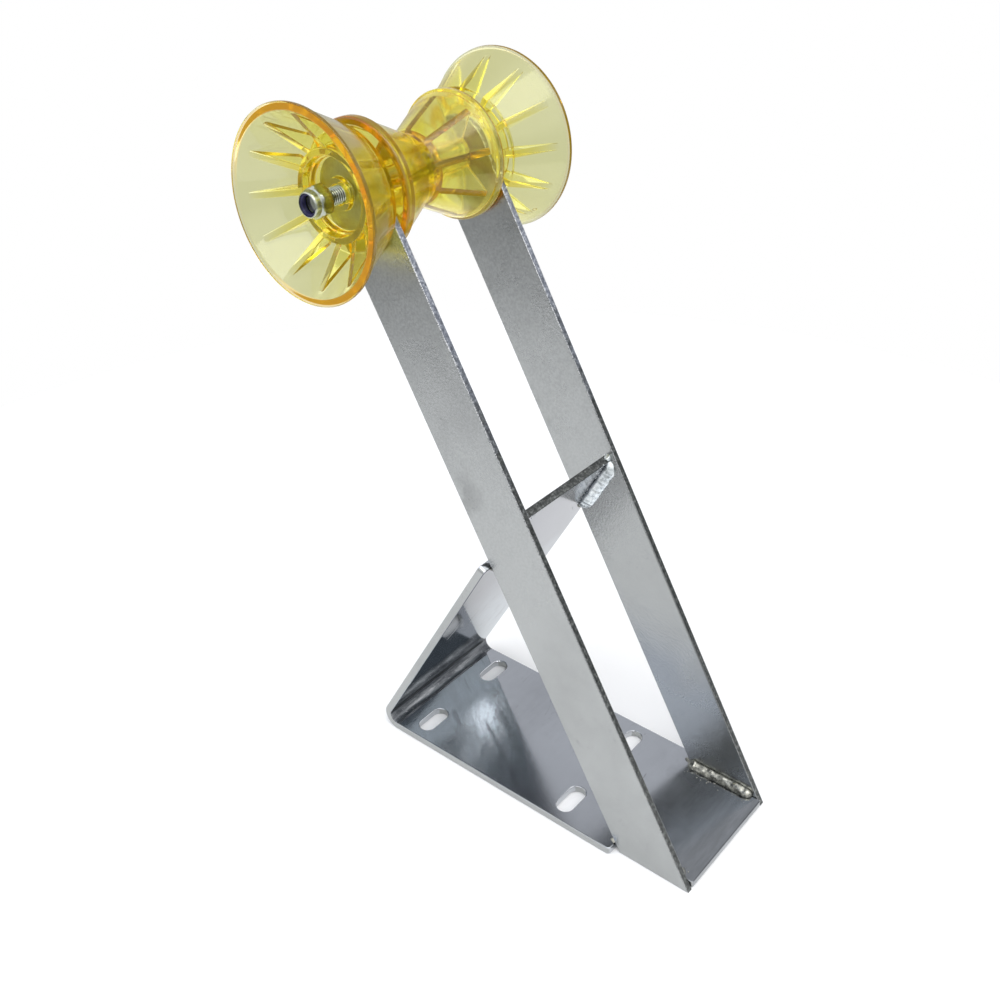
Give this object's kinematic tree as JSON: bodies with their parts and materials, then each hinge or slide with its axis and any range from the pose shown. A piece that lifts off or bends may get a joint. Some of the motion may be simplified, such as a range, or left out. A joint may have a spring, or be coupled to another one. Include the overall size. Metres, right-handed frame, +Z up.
{
  "type": "bow roller",
  "caption": "Galvanised V bracket that carries a translucent amber spool roller and flared end bells on one long bolt, to guide an anchor chain or rope over a bow.",
  "frame": {"origin": "underside of the base plate, in the middle of its four fixing slots", "axes": "+Z up from the surface it is bolted to, X along the roller axis with the bolt head on +X and the lock nut on -X, -Y towards the foot of the arms"},
  "size_m": [0.192, 0.3461, 0.5037],
  "materials": {
    "galvanised": "hot-dip galvanised, satin, with soft dark reflections",
    "weld": "galvanised weld bead",
    "amber": "clear amber polyurethane, glossy",
    "zinc": "bright zinc plate",
    "nylon": "dark blue nylon"
  },
  "bodies": {
    "bracket": {"base_plate": "galvanised", "arm_left": "galvanised", "arm_right": "galvanised", "weld_foot_left": "weld", "weld_brace_left": "weld", "tack_base_left": "weld", "tack_brace_left": "weld", "weld_foot_right": "weld", "weld_brace_right": "weld", "tack_base_right": "weld", "tack_brace_right": "weld"},
    "spool": {"center_roller": "amber"},
    "bell_left": {"end_bell_left": "amber"},
    "bell_right": {"end_bell_right": "amber"},
    "axle": {"axle_bolt": "zinc", "lock_nut": "zinc", "nut_insert": "nylon"}
  },
  "joints": [
    {"name": "center_roller_spin", "type": "hinge", "parent": "bracket", "child": "spool", "pos_m": [0, 0.10215, 0.4413], "axis": [1, 0, 0], "continuous": true},
    {"name": "end_bell_left_spin", "type": "hinge", "parent": "bracket", "child": "bell_left", "pos_m": [0, 0.10215, 0.4413], "axis": [1, 0, 0], "continuous": true},
    {"name": "end_bell_right_spin", "type": "hinge", "parent": "bracket", "child": "bell_right", "pos_m": [0, 0.10215, 0.4413], "axis": [1, 0, 0], "continuous": true},
    {"name": "axle_end_float", "type": "slide", "parent": "bracket", "child": "axle", "axis": [1, 0, 0], "range_m": [0, 0.0112]}
  ]
}
